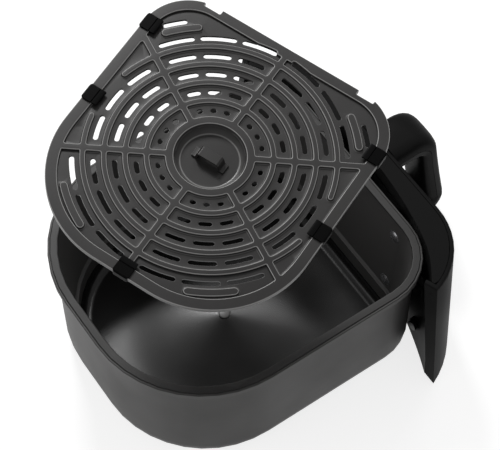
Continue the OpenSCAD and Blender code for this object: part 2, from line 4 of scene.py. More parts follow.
import bmesh
import bpy
import numpy
from mathutils import Matrix, Vector
from mathutils.bvhtree import BVHTree
from mathutils.geometry import delaunay_2d_cdt


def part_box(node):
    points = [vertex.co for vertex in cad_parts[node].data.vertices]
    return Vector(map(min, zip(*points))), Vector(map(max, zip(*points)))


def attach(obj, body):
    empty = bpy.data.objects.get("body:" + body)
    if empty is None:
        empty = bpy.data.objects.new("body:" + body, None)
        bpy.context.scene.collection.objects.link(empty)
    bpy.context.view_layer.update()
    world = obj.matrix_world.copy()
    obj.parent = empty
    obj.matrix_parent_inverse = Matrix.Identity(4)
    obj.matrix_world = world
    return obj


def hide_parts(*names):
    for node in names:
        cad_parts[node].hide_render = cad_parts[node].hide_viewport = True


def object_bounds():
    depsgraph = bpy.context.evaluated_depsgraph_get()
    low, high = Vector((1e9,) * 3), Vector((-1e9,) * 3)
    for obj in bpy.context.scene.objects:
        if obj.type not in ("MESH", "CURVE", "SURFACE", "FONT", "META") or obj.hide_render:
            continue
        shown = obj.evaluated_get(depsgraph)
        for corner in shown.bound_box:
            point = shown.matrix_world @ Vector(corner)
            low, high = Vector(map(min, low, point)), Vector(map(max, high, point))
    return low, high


bl_info = {
    "name": "Air Fryer Drawer",
    "version": (1, 0, 0),
    "blender": (4, 5, 0),
    "location": "View3D > Sidebar > Drawer",
    "description": "Finished pieces and studio for a basket drawer with its crisper plate",
    "category": "Object",
}

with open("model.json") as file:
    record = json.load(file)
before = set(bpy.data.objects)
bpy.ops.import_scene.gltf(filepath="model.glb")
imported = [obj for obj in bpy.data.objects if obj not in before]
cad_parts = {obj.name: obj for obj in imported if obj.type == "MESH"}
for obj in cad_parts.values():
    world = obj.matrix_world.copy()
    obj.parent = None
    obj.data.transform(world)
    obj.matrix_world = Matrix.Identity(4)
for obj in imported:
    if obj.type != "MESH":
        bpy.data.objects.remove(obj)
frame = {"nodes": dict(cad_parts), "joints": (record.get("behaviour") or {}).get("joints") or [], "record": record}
cad_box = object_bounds()

MM = 0.001
WELD = 2e-6  # corners that lie closer than this are one corner
SHARP_DEG = 35.0  # edges that bend more than this get rounded
ROUND = 96  # points of a full circle
LEVEL = 0.999  # least upward part of the normal of a face that counts as level

RECESS_R = 26 * MM  # about the lip of the plate's middle recess
BOWL_R = 28 * MM  # about the rim of the bowl below it
FOOT = 0.3 * MM  # unit of the small rounding where a wall meets a floor
# The edge mark in these triples sets the strength of a painted highlight.
RECESS_FOOT = ((3, 2.2, 0.2), (1, 0.5, 0.6), (-2, 0, 0))  # offset and height in feet, edge mark
POCKET_FOOT = ((0, 2, 0), (-0.6, 0.6, 0.3), (-2, 0, 0))

BUMPERS = [name for name in sorted(frame["nodes"]) if name.startswith("bumper_")]
BODY_OF = {
    node: body
    for body, members in frame["record"]["behaviour"]["bodies"].items()
    for node in members
}


# ---------------------------------------------------------------- frame places
def plate_turn():
    """Rotation of the lifted plate at rest, from the way it lies in the pan."""
    joint = next(j for j in frame["joints"] if j["type"] == "hinge")
    seated_deg = joint["range_deg"][0]
    return Matrix.Rotation(-math.radians(seated_deg), 3, Vector(joint["axis"]))


def middle(node):
    """Middle of the node's box."""
    low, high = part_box(node)
    return (low + high) / 2


# ---------------------------------------------------------------- mesh helpers
def mesh_of(node):
    """Copy of a node's mesh as a bmesh, its corners joined."""
    bm = bmesh.new()
    bm.from_mesh(frame["nodes"][node].data)
    bmesh.ops.remove_doubles(bm, verts=bm.verts, dist=WELD)
    return bm


def flat_faced(node):
    """Copy of a node's mesh in which triangles of one plane are one face."""
    bm = mesh_of(node)
    bmesh.ops.dissolve_limit(
        bm, angle_limit=math.radians(0.4), verts=bm.verts, edges=bm.edges,
        delimit={"NORMAL"},
    )
    return bm


def to_object(bm, name, sharp_deg=SHARP_DEG):
    """Smooth-shaded object of the bmesh, with sharp edges where it bends."""
    mesh = bpy.data.meshes.new(name)
    bm.to_mesh(mesh)
    bm.free()
    for polygon in mesh.polygons:
        polygon.use_smooth = True
    mesh.set_sharp_from_angle(angle=math.radians(sharp_deg))
    obj = bpy.data.objects.new(name, mesh)
    bpy.context.scene.collection.objects.link(obj)
    return obj


def finish_piece(obj, node, material):
    """The object stands for the node, rides with its body and has its finish."""
    obj.data.materials.append(material)
    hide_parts(node)
    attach(obj, BODY_OF[node])


def extra_piece(bm, name, body, material):
    """Small piece that stands for no node of its own."""
    obj = to_object(bm, name, sharp_deg=40.0)
    obj.data.materials.append(material)
    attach(obj, body)


def shade_evenly(obj):
    """Broad faces set the shading, so that rounded edges don't bend it."""
    even = obj.modifiers.new("Even shading", "WEIGHTED_NORMAL")
    even.keep_sharp = False
    even.weight = 100


def soften(obj, width, sharp_deg=SHARP_DEG):
    """Rounds the object's edges to the width."""
    bevel = obj.modifiers.new("Soft edges", "BEVEL")
    bevel.width = width
    bevel.segments = 3
    bevel.limit_method = "ANGLE"
    bevel.angle_limit = math.radians(sharp_deg)
    bevel.use_clamp_overlap = True
    shade_evenly(obj)


def softened_copy(node, name, material, edge=0.0):
    """Copy of the node with rounded edges, in its place."""
    obj = to_object(flat_faced(node), name)
    finish_piece(obj, node, material)
    if edge > 0:
        soften(obj, edge)
    return obj


# ---------------------------------------------------------------- shader parts
def new_group(name, inputs, outputs):
    """Empty node group with the named number sockets, and its two end nodes."""
    group = bpy.data.node_groups.new(name, "ShaderNodeTree")
    for label, value in inputs.items():
        socket = group.interface.new_socket(label, in_out="INPUT", socket_type="NodeSocketFloat")
        socket.default_value = value
    for label in outputs:
        group.interface.new_socket(label, in_out="OUTPUT", socket_type="NodeSocketFloat")
    return group, group.nodes.new("NodeGroupInput"), group.nodes.new("NodeGroupOutput")


def math_node(tree, operation, *values, clamp=False):
    """Output of a Math node whose inputs are numbers or sockets."""
    node = tree.nodes.new("ShaderNodeMath")
    node.operation = operation
    node.use_clamp = clamp
    for socket, value in zip(node.inputs, values):
        if isinstance(value, (int, float)):
            socket.default_value = value
        else:
            tree.links.new(value, socket)
    return node.outputs[0]


def noise_node(tree, place, scale, detail, rough=0.5):
    """Noise over the place, with a socket for its scale."""
    node = tree.nodes.new("ShaderNodeTexNoise")
    node.inputs["Detail"].default_value = detail
    node.inputs["Roughness"].default_value = rough
    tree.links.new(place, node.inputs["Vector"])
    tree.links.new(scale, node.inputs["Scale"])
    return node.outputs["Fac"]


def grain_group():
    """Fine sprayed grain: its height, a mask of the grains and one of slow clouds."""
    coarse_scale = 0.32
    fine_share, coarse_share = 0.6, 0.4
    group, start, end = new_group(
        "Sprayed grain", {"Grain size": 900.0, "Cloud size": 14.0}, ("Height", "Grain", "Cloud")
    )
    place = group.nodes.new("ShaderNodeTexCoord").outputs["Object"]
    size = start.outputs["Grain size"]
    fine = noise_node(group, place, size, 2.0, 0.6)
    coarse = noise_node(group, place, math_node(group, "MULTIPLY", size, coarse_scale), 2.0)
    cloud = noise_node(group, place, start.outputs["Cloud size"], 3.0)
    height = math_node(
        group, "ADD",
        math_node(group, "MULTIPLY", fine, fine_share),
        math_node(group, "MULTIPLY", coarse, coarse_share),
    )
    group.links.new(height, end.inputs["Height"])
    group.links.new(fine, end.inputs["Grain"])
    group.links.new(cloud, end.inputs["Cloud"])
    return group


def edge_group():
    """Mask of edges that get a painted highlight, a paler colour: raised by their shape, or marked on the mesh."""
    flat, contrast = 0.505, 14.0
    group, start, end = new_group("Painted edge highlights", {"By shape": 1.0, "By mark": 0.0}, ("Mask",))
    point = group.nodes.new("ShaderNodeNewGeometry").outputs["Pointiness"]
    raised = math_node(group, "MULTIPLY", math_node(group, "SUBTRACT", point, flat), contrast, clamp=True)
    mark = group.nodes.new("ShaderNodeAttribute")
    mark.attribute_name = "edge"
    shape = math_node(group, "MULTIPLY", raised, start.outputs["By shape"])
    marked = math_node(group, "MULTIPLY", mark.outputs["Fac"], start.outputs["By mark"])
    group.links.new(math_node(group, "ADD", shape, marked, clamp=True), end.inputs["Mask"])
    return group


def spun_group():
    """Height of a shallow spun cone round the vertical axis, level beyond its reach."""
    easing = 30 * MM
    group, start, end = new_group("Spun cone", {"Slope": 0.12, "Reach": 0.085}, ("Height",))
    apart = group.nodes.new("ShaderNodeSeparateXYZ")
    group.links.new(group.nodes.new("ShaderNodeTexCoord").outputs["Object"], apart.inputs[0])
    squares = [math_node(group, "MULTIPLY", apart.outputs[k], apart.outputs[k]) for k in ("X", "Y")]
    radius = math_node(group, "SQRT", math_node(group, "ADD", *squares))
    kept = math_node(group, "SMOOTH_MIN", radius, start.outputs["Reach"], easing)
    drop = math_node(group, "MULTIPLY", kept, start.outputs["Slope"])
    group.links.new(math_node(group, "MULTIPLY", drop, -1.0), end.inputs["Height"])
    return group


GROUP_MAKERS = {"grain": grain_group, "edges": edge_group, "spun": spun_group}
GROUPS = {}


def placed(tree, name):
    """Node of the named group in the tree; the group is made the first time."""
    if name not in GROUPS:
        GROUPS[name] = GROUP_MAKERS[name]()
    node = tree.nodes.new("ShaderNodeGroup")
    node.node_tree = GROUPS[name]
    return node


def remap(tree, value, low, high):
    """Noise spread over low to high; nearly all of it lies between 0.3 and 0.7."""
    node = tree.nodes.new("ShaderNodeMapRange")
    node.inputs["From Min"].default_value = 0.3
    node.inputs["From Max"].default_value = 0.7
    node.inputs["To Min"].default_value = low
    node.inputs["To Max"].default_value = high
    tree.links.new(value, node.inputs["Value"])
    return node.outputs["Result"]


def blend_colour(tree, mask, first, second):
    """The first colour where the mask is 0 and the second where it is 1."""
    factor, colour_a, colour_b, colour_out = 0, 6, 7, 2
    node = tree.nodes.new("ShaderNodeMix")
    node.data_type = "RGBA"
    for index, value in ((colour_a, first), (colour_b, second)):
        if isinstance(value, tuple):
            node.inputs[index].default_value = (*value, 1.0)
        else:
            tree.links.new(value, node.inputs[index])
    tree.links.new(mask, node.inputs[factor])
    return node.outputs[colour_out]


def scaled(colour, factor):
    return tuple(min(1.0, c * factor) for c in colour)


def coating(
    name, colour, pale, rough, grain, bump, edge, specular=0.5, metallic=0.0, mark=0.0, cone=0.0
):
    """Sprayed finish with grain, slow clouding and a painted highlight on its edges, on a spun cone if asked."""
    dark_grain = 0.86
    clouding = 0.12
    relief_height = 0.12 * MM
    material = bpy.data.materials.new(name)
    material.use_nodes = True
    tree = material.node_tree
    shader = tree.nodes["Principled BSDF"]
    speck = placed(tree, "grain")
    speck.inputs["Grain size"].default_value = grain
    edge_highlight = placed(tree, "edges")
    edge_highlight.inputs["By shape"].default_value = edge
    edge_highlight.inputs["By mark"].default_value = mark
    speckled = remap(tree, speck.outputs["Grain"], 0.0, 1.0)
    body = blend_colour(tree, speckled, scaled(colour, dark_grain), colour)
    # Painted highlight: the pale colour is mixed in where the edge mask is high.
    mixed = blend_colour(tree, edge_highlight.outputs["Mask"], body, pale)
    tree.links.new(mixed, shader.inputs["Base Color"])
    clouded = remap(tree, speck.outputs["Cloud"], rough * (1 - clouding), rough * (1 + clouding))
    tree.links.new(clouded, shader.inputs["Roughness"])
    shader.inputs["Metallic"].default_value = metallic
    shader.inputs["Specular IOR Level"].default_value = specular
    relief = tree.nodes.new("ShaderNodeBump")
    relief.inputs["Strength"].default_value = bump
    relief.inputs["Distance"].default_value = relief_height
    tree.links.new(speck.outputs["Height"], relief.inputs["Height"])
    tree.links.new(relief.outputs["Normal"], shader.inputs["Normal"])
    if cone > 0:
        spun = placed(tree, "spun")
        spun.inputs["Slope"].default_value = cone
        dish = tree.nodes.new("ShaderNodeBump")
        dish.inputs["Distance"].default_value = 1.0
        tree.links.new(spun.outputs["Height"], dish.inputs["Height"])
        tree.links.new(dish.outputs["Normal"], relief.inputs["Normal"])
    return material


def coatings(s):
    """What each finish is made with, from the panel's colours; grain is in grains to the metre."""
    grey, plate, black, rubber, steel = (
        tuple(colour) for colour in (s.pan_grey, s.plate_grey, s.plastic, s.silicone, s.steel)
    )
    # Colour of the painted highlight along the plate's rib and slot edges.
    rib_highlight_colour = (0.42, 0.415, 0.41)
    return {
        "Pan outside": dict(
            colour=grey, pale=scaled(grey, 1.8),
            rough=0.48, grain=1500.0, bump=0.25, edge=0.5, specular=0.3,
        ),
        # The pan's floor, walls and rim below are one coating in lit and shaded copies: painted shade on the floor
        # and rim, painted light on the walls.
        "Pan floor painted darker": dict(
            colour=scaled(grey, 0.16), pale=scaled(grey, 0.4),
            rough=0.24, grain=1200.0, bump=0.1, edge=0.4, cone=0.15,
        ),
        "Pan rim painted darker": dict(
            colour=scaled(grey, 0.55), pale=scaled(grey, 1.1),
            rough=0.45, grain=1500.0, bump=0.2, edge=0.5, specular=0.25,
        ),
        "Pan walls painted lighter": dict(
            colour=scaled(grey, 1.5), pale=scaled(grey, 2.0),
            rough=0.4, grain=1400.0, bump=0.15, edge=0.4, specular=0.4,
        ),
        # The stud is painted much lighter than the floor round it: a painted highlight at the floor's centre.
        "Floor stud painted bright": dict(
            colour=scaled(grey, 1.2), pale=grey,
            rough=0.4, grain=1400.0, bump=0.1, edge=0.3,
        ),
        # The plate's marked fillets get a painted highlight in the pale colour.
        "Plate coating": dict(
            colour=plate, pale=rib_highlight_colour,
            rough=0.34, grain=1300.0, bump=0.2, edge=0.0, specular=0.4, mark=1.0,
        ),
        "Black moulding": dict(
            colour=scaled(black, 1.7), pale=scaled(black, 2.2),
            rough=0.42, grain=2200.0, bump=0.2, edge=0.4, specular=0.015,
        ),
        "Frame moulding": dict(
            colour=scaled(black, 0.3), pale=scaled(black, 0.5),
            rough=0.5, grain=1800.0, bump=0.3, edge=0.3, specular=0.03,
        ),
        "Rivet heads": dict(
            colour=steel, pale=scaled(steel, 1.3),
            rough=0.25, grain=1400.0, bump=0.1, edge=0.5, metallic=0.8,
        ),
        "Blackened steel": dict(
            colour=black, pale=scaled(black, 2.0),
            rough=0.35, grain=1600.0, bump=0.1, edge=0.4, specular=0.2,
        ),
        "Silicone": dict(
            colour=scaled(rubber, 0.5), pale=rubber,
            rough=0.42, grain=2600.0, bump=0.15, edge=0.5, specular=0.04,
        ),
        "Plated steel": dict(
            colour=steel, pale=scaled(steel, 1.2),
            rough=0.3, grain=1600.0, bump=0.1, edge=0.4, metallic=1.0,
        ),
    }


MATERIALS = {}


def finish(name):
    """Material of that name; it is made the first time."""
    if name not in MATERIALS:
        MATERIALS[name] = coating(name, **coatings(bpy.context.scene.drawer_finish)[name])
    return MATERIALS[name]


# ---------------------------------------------------------------- settings
def colour_property(name, description, default):
    return bpy.props.FloatVectorProperty(
        name=name, description=description, default=default, size=3, subtype="COLOR", min=0, max=1
    )


def length_property(name, description, default):
    return bpy.props.FloatProperty(
        name=name, description=description, default=default, min=0, unit="LENGTH", subtype="DISTANCE"
    )


def power_property(name, description, default):
    return bpy.props.FloatProperty(
        name=name, description=description, default=default, min=0, unit="POWER", subtype="POWER"
    )


class DrawerFinish(bpy.types.PropertyGroup):
    """Colours and small sizes of the drawer's pieces"""

    pan_grey: colour_property("Pan grey", "Coating of the pan", (0.056, 0.0545, 0.0535))
    plate_grey: colour_property("Plate grey", "Coating of the crisper plate", (0.032, 0.0305, 0.030))
    plastic: colour_property("Plastic", "Mouldings and blackened screws", (0.0075, 0.0075, 0.0075))
    silicone: colour_property("Silicone", "Bumpers on the plate", (0.004, 0.004, 0.004))
    steel: colour_property("Steel", "Rivets and bracket", (0.35, 0.35, 0.36))
    sheet_edge: length_property("Sheet edge", "Rounding of the pan's edges", 0.45 * MM)
    plate_edge: length_property("Plate edge", "Rounding of the plate's ribs and slots", 0.7 * MM)
    wall_slope: length_property("Wall slope", "How far the pocket walls lean in", 0.5 * MM)
    moulded_edge: length_property("Moulded edge", "Rounding of the plastic edges", 0.8 * MM)
    bumper_edge: length_property("Bumper edge", "Rounding of the bumpers", 0.7 * MM)
    fold_depth: length_property("Fold depth", "Depth of the fold across each bumper", 0.45 * MM)
    ring_r: length_property("Ring radius", "Ring pressed round the floor stud", 18 * MM)
    grip_spread: bpy.props.FloatProperty(
        name="Grip spread", description="How much broader the top of the handle is made",
        default=0.16, min=0, max=0.17, subtype="FACTOR",
    )


class DrawerStudio(bpy.types.PropertyGroup):
    """Camera and light of the studio"""

    azimuth: bpy.props.FloatProperty(
        name="Azimuth", description="Camera direction, 0 looks along +Y",
        default=math.radians(235.58), subtype="ANGLE",
    )
    elevation: bpy.props.FloatProperty(
        name="Elevation", description="Camera height above the horizon",
        default=math.radians(59.0), subtype="ANGLE",
    )
    distance: length_property("Distance", "From the aim point to the camera", 1.463)
    aim: bpy.props.FloatVectorProperty(
        name="Aim", description="Point the camera looks at",
        default=(-0.0005, -0.0262, 0.128), size=3, subtype="XYZ", unit="LENGTH",
    )
    lens: bpy.props.FloatProperty(
        name="Lens", description="Focal length in millimetres on a 36 mm sensor",
        default=131.3, min=10, subtype="DISTANCE_CAMERA",
    )
    air: bpy.props.FloatProperty(
        name="Air", description="Strength of the even light all round", default=0.32, min=0,
    )
    far_left: power_property("Far left", "Soft box beyond the pan's right wall", 18.0)
    far_right: power_property("Far right", "Soft box beyond the handle", 2.6)
    near_left: power_property("Near left", "Broad soft box behind the pan's back wall", 3.6)


# ---------------------------------------------------------------- crisper plate
def flat_plate():
    """The plate's mesh laid flat, and the matrix that lifts it back."""
    bm = mesh_of("crisper_plate")
    broad = max((f for f in bm.faces if f.normal.z > 0.9), key=lambda f: f.calc_area())
    up = broad.normal.normalized()
    side = (Vector((1, 0, 0)) - up * up.x).normalized()
    lift = Matrix((side, up.cross(side), up)).transposed().to_4x4()
    bm.transform(lift.inverted())
    bm.normal_update()
    return bm, lift


def broad_levels(bm, facing):
    """Heights of at least 3 square centimetres of faces that face up or down, lowest first."""
    least_area, same_height = 3e-4, 2e-5
    area = {}
    for f in bm.faces:
        if f.normal.z * facing > LEVEL:
            height = round(f.verts[0].co.z, 5)
            area[height] = area.get(height, 0) + f.calc_area()
    merged = []
    for height in sorted(area):
        if merged and height - merged[-1][0] < same_height:
            merged[-1][1] += area[height]
        else:
            merged.append([height, area[height]])
    return [height for height, size in merged if size > least_area]


def level_loops(bm, height, facing):
    """Closed outlines of the faces at a height, with the faces on the left seen from above."""
    same_height = 3e-5
    sides = []
    for f in bm.faces:
        if f.normal.z * facing > LEVEL and abs(f.calc_center_median().z - height) < same_height:
            for corner in f.loops:
                pair = (corner.vert, corner.link_loop_next.vert)
                sides.append(pair if facing > 0 else pair[::-1])
    known = set(sides)
    # Read from the list, whose order is the mesh's own, so that each run starts at the same corners.
    following = {a: b for a, b in sides if (b, a) not in known}
    loops = []
    while following:
        start, at = following.popitem()
        line = [start.co.xy.copy()]
        while at != start:
            line.append(at.co.xy.copy())
            at = following.pop(at)
        loops.append(line)
    return loops


def centre_of(line):
    return sum(line, Vector((0, 0))) / len(line)


def spread(line):
    """Centre of the outline and the mean distance of its points from there."""
    centre = centre_of(line)
    return centre, sum((p - centre).length for p in line) / len(line)


def runs_round(line, centre, radius):
    """Whether the outline is about a circle of that centre and radius."""
    own_centre, own_radius = spread(line)
    return (own_centre - centre).length < 1 * MM and abs(own_radius - radius) < 3 * MM


def same_place(line, others):
    """Whether one of the other outlines has the same centre and about as many points."""
    centre = centre_of(line)
    return any(
        abs(len(other) - len(line)) < 3 and (centre_of(other) - centre).length < 0.1 * MM
        for other in others
    )


def turn_at(line, i):
    """Angle by which the outline turns at its point, to the right if positive."""
    a, b, c = line[i - 1], line[i], line[(i + 1) % len(line)]
    return (b - a).angle_signed(c - b, 0.0)


def cleaned(line):
    """The outline without points on straight runs or short steps beside a corner."""
    straight, slight = math.radians(0.3), math.radians(12)
    short_step = 0.9 * MM
    line = [p for i, p in enumerate(line) if abs(turn_at(line, i)) > straight]
    kept = []
    count = len(line)
    for i, p in enumerate(line):
        near = min((p - line[i - 1]).length, (p - line[(i + 1) % count]).length)
        if near < short_step and abs(turn_at(line, i)) < slight:
            continue
        kept.append(p)
    return kept


def rounded(line, radius):
    """The outline with curves of up to the radius at its corners."""
    least_turn, turn_per_step = math.radians(28), math.radians(18)
    side_share = 0.46
    out = []
    count = len(line)
    for i, p in enumerate(line):
        turn = abs(turn_at(line, i))
        if turn < least_turn:
            out.append(p)
            continue
        back, ahead = line[i - 1] - p, line[(i + 1) % count] - p
        trim = min(radius * math.tan(turn / 2), side_share * back.length, side_share * ahead.length)
        start, end = p + back.normalized() * trim, p + ahead.normalized() * trim
        steps = max(2, round(turn / turn_per_step))
        for k in range(steps + 1):
            t = k / steps
            out.append(start.lerp(p, t).lerp(p.lerp(end, t), t))
    return out


def offset_line(line, distance):
    """Every point moved to the left of the outline's direction, at most twice the distance."""
    out = []
    count = len(line)
    for i, p in enumerate(line):
        into = (p - line[i - 1]).normalized()
        away = (line[(i + 1) % count] - p).normalized()
        normal = Vector((-into.y - away.y, into.x + away.x)).normalized()
        reach = max(0.5, normal.dot(Vector((-into.y, into.x))))
        out.append(p + normal * (distance / reach))
    return out


def circle(centre, radius):
    return [
        centre + Vector((math.cos(a), math.sin(a))) * radius
        for a in (2 * math.pi * k / ROUND for k in range(ROUND))
    ]


def fillet(offset, height, radius, rising, steps=4, mark=1.0):
    """Quarter round as (offset, height, edge mark) triples, from the flat to the wall; the mark, strongest
    mid-round, sets a painted highlight.
    """
    points = []
    for k in range(steps + 1):
        a = math.pi / 2 * k / steps
        out, up = offset - radius * math.sin(a), height + rising * radius * (1 - math.cos(a))
        points.append((out, up, mark * math.sin(2 * a)))
    return points


def foot_of(offset, height, shape):
    """Foot of a wall as (offset, height, edge mark) triples, from the wall to the floor."""
    return [(offset + FOOT * a, height + FOOT * b, mark) for a, b, mark in shape]


def ring_of(bm, line, height, edge):
    """Points at one height, with their edge mark."""
    mark = bm.verts.layers.float["edge"]
    ring = []
    for p in line:
        ring.append(bm.verts.new((*p, height)))
        ring[-1][mark] = edge
    return ring


def joined(bm, rings):
    """Side faces between closed rings of as many points."""
    count = len(rings[0])
    for first, second in zip(rings, rings[1:]):
        for i in range(count):
            j = (i + 1) % count
            bm.faces.new((first[i], first[j], second[j], second[i]))


def walled(bm, line, profile):
    """Wall that follows the outline through the profile; returns its first and last ring."""
    rings = [ring_of(bm, offset_line(line, offset), height, edge) for offset, height, edge in profile]
    joined(bm, rings)
    return rings[0], rings[-1]


def dished(bm, centre, profile):
    """Round wall through the profile, closed at its end; returns its first ring."""
    rings = [ring_of(bm, circle(centre, radius), height, edge) for radius, height, edge in profile]
    joined(bm, rings)
    filled(bm, rings[-1:])
    return rings[0]


def within(ends, x, y):
    """Whether a place is inside the outlines whose sides have these ends: odd crossings to its right."""
    cut = ends[(ends[:, 1] > y) != (ends[:, 3] > y)]
    crossing = cut[:, 0] + (y - cut[:, 1]) * (cut[:, 2] - cut[:, 0]) / (cut[:, 3] - cut[:, 1])
    return (crossing > x).sum() % 2 == 1


def filled(bm, rings):
    """Triangles over the flat region between the rings."""
    verts, sides = [], []
    for ring in rings:
        start = len(verts)
        verts.extend(ring)
        sides.extend((start + i, start + (i + 1) % len(ring)) for i in range(len(ring)))
    flat = [v.co.xy for v in verts]
    points, _, faces, origin, _, _ = delaunay_2d_cdt(flat, sides, [], 0, 1e-7)
    ends = numpy.array([(*flat[a], *flat[b]) for a, b in sides])
    height = verts[0].co.z
    made = {}
    for face in faces:
        if not within(ends, *centre_of([points[i] for i in face])):
            continue
        corners = []
        for i in face:
            if origin[i]:
                corners.append(verts[origin[i][0]])
            else:
                if i not in made:
                    made[i] = bm.verts.new((*points[i], height))
                corners.append(made[i])
        if len(set(corners)) == 3 and not bm.faces.get(corners):
            bm.faces.new(corners)


def build_grille(s):
    """Plate with rounded ribs, sloped pocket walls and eased slots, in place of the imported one."""
    pocket_corner, opening_corner, slot_corner = 1.7 * MM, 0.8 * MM, 1.2 * MM
    ease = s.plate_edge
    source, lift = flat_plate()
    recess, pocket, top = broad_levels(source, 1)[-3:]
    undersides = broad_levels(source, -1)
    bowl = undersides[0]
    under = next(height for height in undersides if height > recess)
    top_lines = level_loops(source, top, 1)
    pocket_lines = level_loops(source, pocket, 1)
    mouth, mouth_r = spread(level_loops(source, recess, 1)[0])
    bm = bmesh.new()
    bm.verts.layers.float.new("edge")
    top_rings, floor_rings, under_rings = [], [], []
    for line in top_lines:
        if runs_round(line, mouth, RECESS_R):
            lip = spread(line)[1]
            profile = fillet(lip + ease, top, ease, -1) + foot_of(mouth_r, recess, RECESS_FOOT)
            top_rings.append(dished(bm, mouth, profile))
        elif same_place(line, pocket_lines):
            path = rounded(cleaned(line), pocket_corner)
            profile = fillet(ease, top, ease, -1) + foot_of(-s.wall_slope, pocket, POCKET_FOOT)
            first, last = walled(bm, path, profile)
            top_rings.append(first)
            floor_rings.append(last)
        else:
            path = rounded(cleaned(line), opening_corner)
            profile = fillet(ease, top, ease, -1) + fillet(ease, under, ease, 1, mark=0)[::-1]
            first, last = walled(bm, path, profile)
            top_rings.append(first)
            under_rings.append(last)
    for line in pocket_lines:
        if same_place(line, top_lines):
            continue
        path = rounded(cleaned(line), slot_corner)
        profile = fillet(FOOT, pocket, FOOT, -1, 3, 0.15) + fillet(FOOT, under, FOOT, 1, 3, 0)[::-1]
        first, last = walled(bm, path, profile)
        floor_rings.append(first)
        under_rings.append(last)
    for line in level_loops(source, under, -1):
        if runs_round(line, mouth, BOWL_R):
            rim = spread(line)[1]
            low = spread(level_loops(source, bowl, -1)[0])[1]
            profile = ((rim, under, 0), (low + 0.4 * MM, bowl + 0.8 * MM, 0), (low - 0.6 * MM, bowl, 0))
            under_rings.append(dished(bm, mouth, profile))
    for rings in (top_rings, floor_rings, under_rings):
        filled(bm, rings)
    source.free()
    bmesh.ops.recalc_face_normals(bm, faces=bm.faces)
    bm.transform(lift)
    grille = to_object(bm, "ring_grille", sharp_deg=60.0)
    shade_evenly(grille)
    finish_piece(grille, "crisper_plate", finish("Plate coating"))


# ---------------------------------------------------------------- other pieces
def eased(t):
    """0 to 1 with a slow start and end."""
    t = min(1.0, max(0.0, t))
    return t * t * (3 - 2 * t)


def build_grip(s, node, name):
    """Half of the handle, made broader from a third of its height up."""
    rate, delay = 1.8, 0.6
    grip_sharp_deg = 50.0
    bm = flat_faced(node)
    low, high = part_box(node)
    for v in bm.verts:
        v.co.x *= 1 + s.grip_spread * eased(rate * (v.co.z - low.z) / (high.z - low.z) - delay)
    grip = to_object(bm, name, grip_sharp_deg)
    finish_piece(grip, node, finish("Black moulding"))
    soften(grip, 0.4 * MM, grip_sharp_deg)


def build_bumper(s, node):
    """Bumper with a fold across its top, nearly two thirds of the way in."""
    fold_share = 0.62
    fold_half, on_fold, top_skin = 0.5 * MM, 0.1 * MM, 0.2 * MM
    bm = flat_faced(node)
    turn = plate_turn()
    up = turn @ Vector((0, 0, 1))
    to_hub = middle("crisper_plate") - middle(node)
    ways = [turn @ Vector(w) for w in ((1, 0, 0), (-1, 0, 0), (0, -1, 0))]
    inward = max(ways, key=lambda w: w.dot(to_hub))
    along = [v.co.dot(inward) for v in bm.verts]
    fold = min(along) + fold_share * (max(along) - min(along))
    for shift in (-fold_half, 0.0, fold_half):
        bmesh.ops.bisect_plane(
            bm, geom=bm.verts[:] + bm.edges[:] + bm.faces[:],
            plane_co=inward * (fold + shift), plane_no=inward, dist=1e-7,
        )
    top = max(v.co.dot(up) for v in bm.verts)
    for v in bm.verts:
        if abs(v.co.dot(inward) - fold) < on_fold and top - v.co.dot(up) < top_skin:
            v.co -= up * s.fold_depth
    piece = to_object(bm, node.replace("bumper", "edge_bumper"))
    finish_piece(piece, node, finish("Silicone"))
    soften(piece, s.bumper_edge)


def build_inner_skin(s):
    """Inner skin of the pan, with a material each for its floor, its walls and its rim: one coating, with painted
    shade on the floor and rim and painted light on the walls.
    """
    floor_rise, rim_band = 14 * MM, 1.6 * MM
    floor, walls, rim = range(3)
    inner = softened_copy(
        "inner_pan", "pan_inner_skin", finish("Pan floor painted darker"), s.sheet_edge
    )
    inner.data.materials.append(finish("Pan walls painted lighter"))
    inner.data.materials.append(finish("Pan rim painted darker"))
    low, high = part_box("inner_pan")
    for polygon in inner.data.polygons:
        z = polygon.center.z
        if z > high.z - rim_band:
            polygon.material_index = rim
        else:
            polygon.material_index = walls if z > low.z + floor_rise else floor


def build_floor_ring(s):
    """Shallow ring pressed round the stud on the pan's floor."""
    half, crown, sunk = 0.9 * MM, 0.16 * MM, 0.5 * MM
    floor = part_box("floor_disc")[0].z + 0.05 * MM
    section = (
        (-half, -sunk), (-half * 0.7, crown * 0.6), (0.0, crown), (half * 0.7, crown * 0.6), (half, -sunk)
    )
    bm = bmesh.new()
    rings = [
        [bm.verts.new((*p, floor + height)) for p in circle(Vector((0, 0)), s.ring_r + offset)]
        for offset, height in section
    ]
    joined(bm, rings + rings[:1])
    bmesh.ops.recalc_face_normals(bm, faces=bm.faces)
    extra_piece(bm, "pressed_ring", "drawer", finish("Pan floor painted darker"))


def build_wedge():
    """Small moulded wedge near the top of the left end face, set on the panel's surface."""
    behind_face = Vector((-130.2, -80.0, 123.5)) * MM
    outline = ((-1.9, 2.4), (-0.4, 1.2), (2.1, -2.6), (-0.9, -0.9))
    sunk, proud = -0.4 * MM, 0.05 * MM
    panel = frame["nodes"]["front_panel"]
    solid = bmesh.new()
    solid.from_mesh(panel.data)
    solid.transform(panel.matrix_world)
    place, normal, _, _ = BVHTree.FromBMesh(solid).ray_cast(behind_face, Vector((0, -1, 0)))
    solid.free()
    if place is None:
        raise RuntimeError("the left end face was not found")
    across = normal.cross(Vector((0, 0, 1))).normalized()
    rise = across.cross(normal)
    bm = bmesh.new()
    rings = [
        [bm.verts.new(place + (across * a + rise * b) * MM + normal * height) for a, b in outline]
        for height in (sunk, proud)
    ]
    for ring in rings:
        bm.faces.new(ring)
    joined(bm, rings)
    bmesh.ops.recalc_face_normals(bm, faces=bm.faces)
    extra_piece(bm, "end_wedge", "drawer", finish("Frame moulding"))


